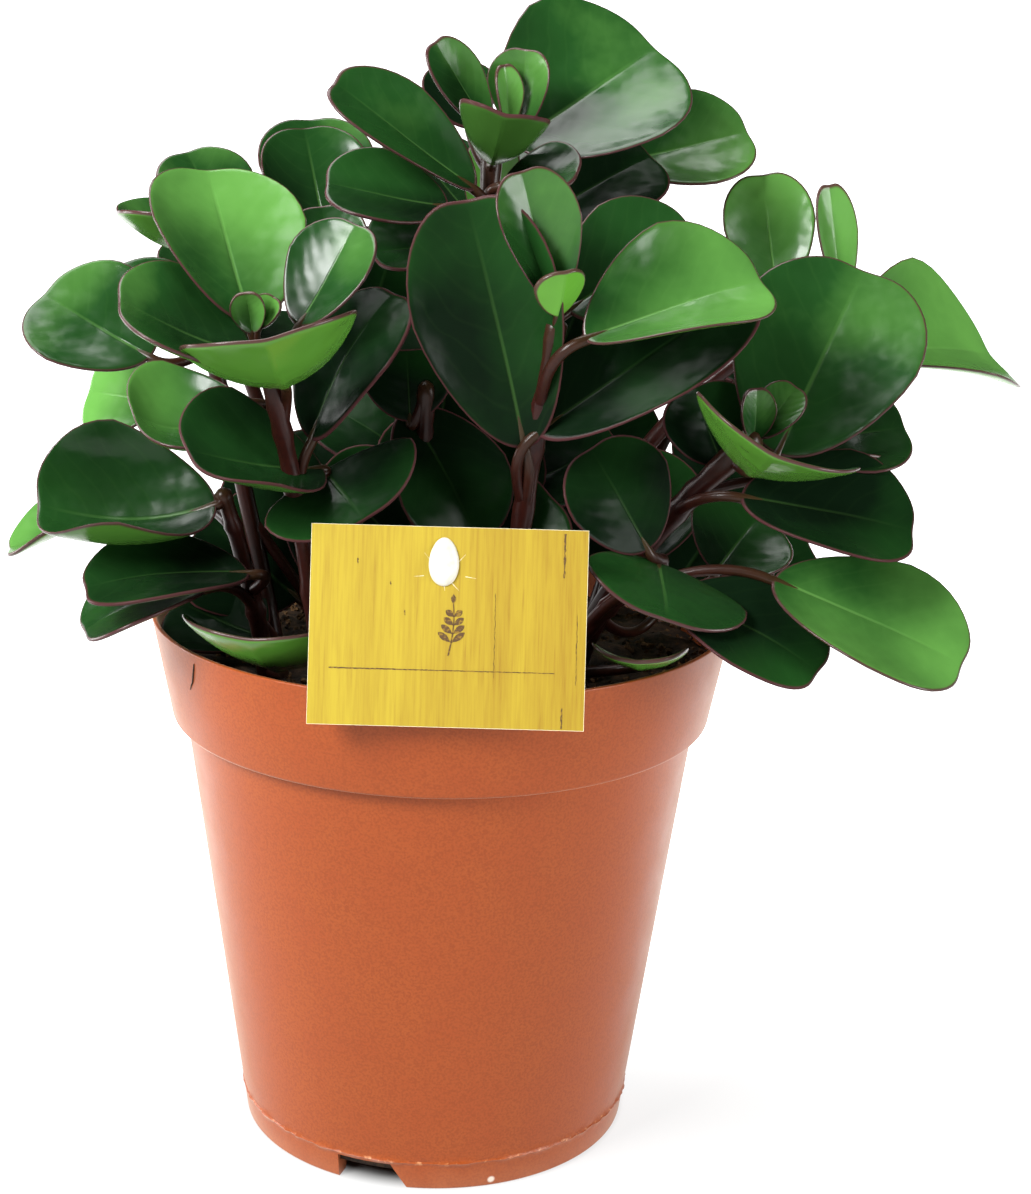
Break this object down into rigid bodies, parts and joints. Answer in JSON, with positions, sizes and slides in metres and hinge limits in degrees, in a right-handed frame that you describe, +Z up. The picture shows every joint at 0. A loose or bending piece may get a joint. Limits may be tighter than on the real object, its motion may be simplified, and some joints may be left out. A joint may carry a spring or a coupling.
{
  "type": "potted peperomia",
  "caption": "Bushy peperomia with thick rounded leaves on reddish stems, in a tapered terracotta-coloured nursery pot with a small card on a stake.",
  "frame": {"origin": "on the surface the pot stands on, under the middle of the whole plant's bounding box", "axes": "+Z up, -Y towards the front with the card, +X to the right seen from the front"},
  "size_m": [0.2052, 0.1498, 0.2358],
  "materials": {
    "pot": "satin moulded polypropylene in terracotta colour",
    "soil": "damp dark peat",
    "card": "smooth card printed as pale yellow wood",
    "stake": "white moulded plastic",
    "leaf": "waxy green leaf with a thin brown-pink margin"
  },
  "bodies": {
    "root": {"pot": "pot", "soil": "soil", "label_card": "card", "label_stake": "stake", "shoot_left_front": "leaf", "shoot_left_back": "leaf", "shoot_back_left": "leaf", "shoot_left_low": "leaf", "shoot_middle_low": "leaf", "shoot_top": "leaf", "shoot_front": "leaf", "shoot_right": "leaf", "shoot_right_back": "leaf", "shoot_right_low": "leaf", "shoot_rear_left": "leaf", "shoot_rear_middle": "leaf", "shoot_rear_right": "leaf"}
  },
  "joints": []
}
